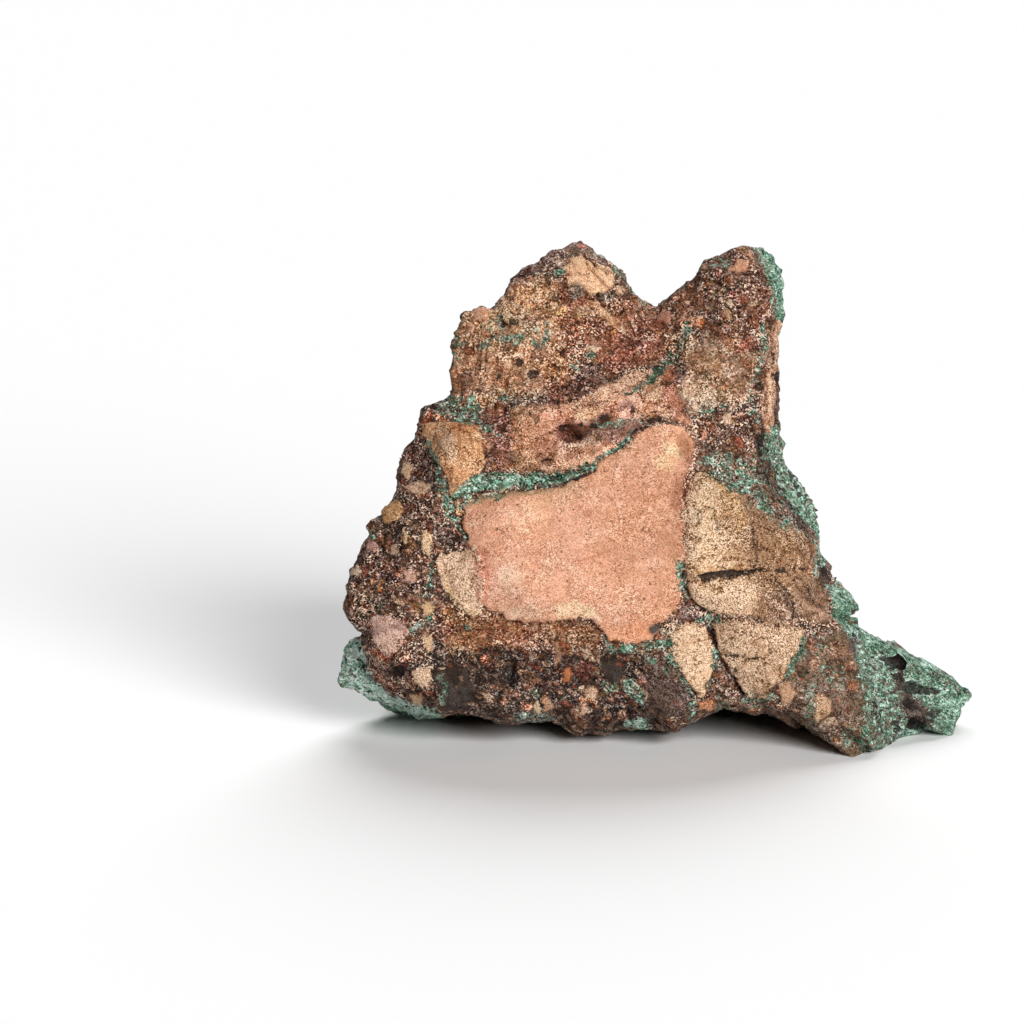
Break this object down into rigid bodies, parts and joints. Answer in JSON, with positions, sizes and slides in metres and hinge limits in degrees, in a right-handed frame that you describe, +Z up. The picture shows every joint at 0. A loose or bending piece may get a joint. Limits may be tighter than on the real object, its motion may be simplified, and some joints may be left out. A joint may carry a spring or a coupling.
{
  "type": "mineral specimen",
  "caption": "Hand specimen of brecciated rock cut by malachite seams, with a malachite crust and aragonite sprays behind, standing on a flat base.",
  "frame": {"origin": "middle of the flat base, under the middle of the specimen's bounding box", "axes": "+Z up, +X to the right along the broken face, +Y from the broken face to the crusted far side"},
  "size_m": [0.1094, 0.061, 0.0852],
  "materials": {
    "stone": "rough broken rock, brown and salmon with green malachite"
  },
  "bodies": {
    "root": {"specimen": "stone"}
  },
  "joints": []
}
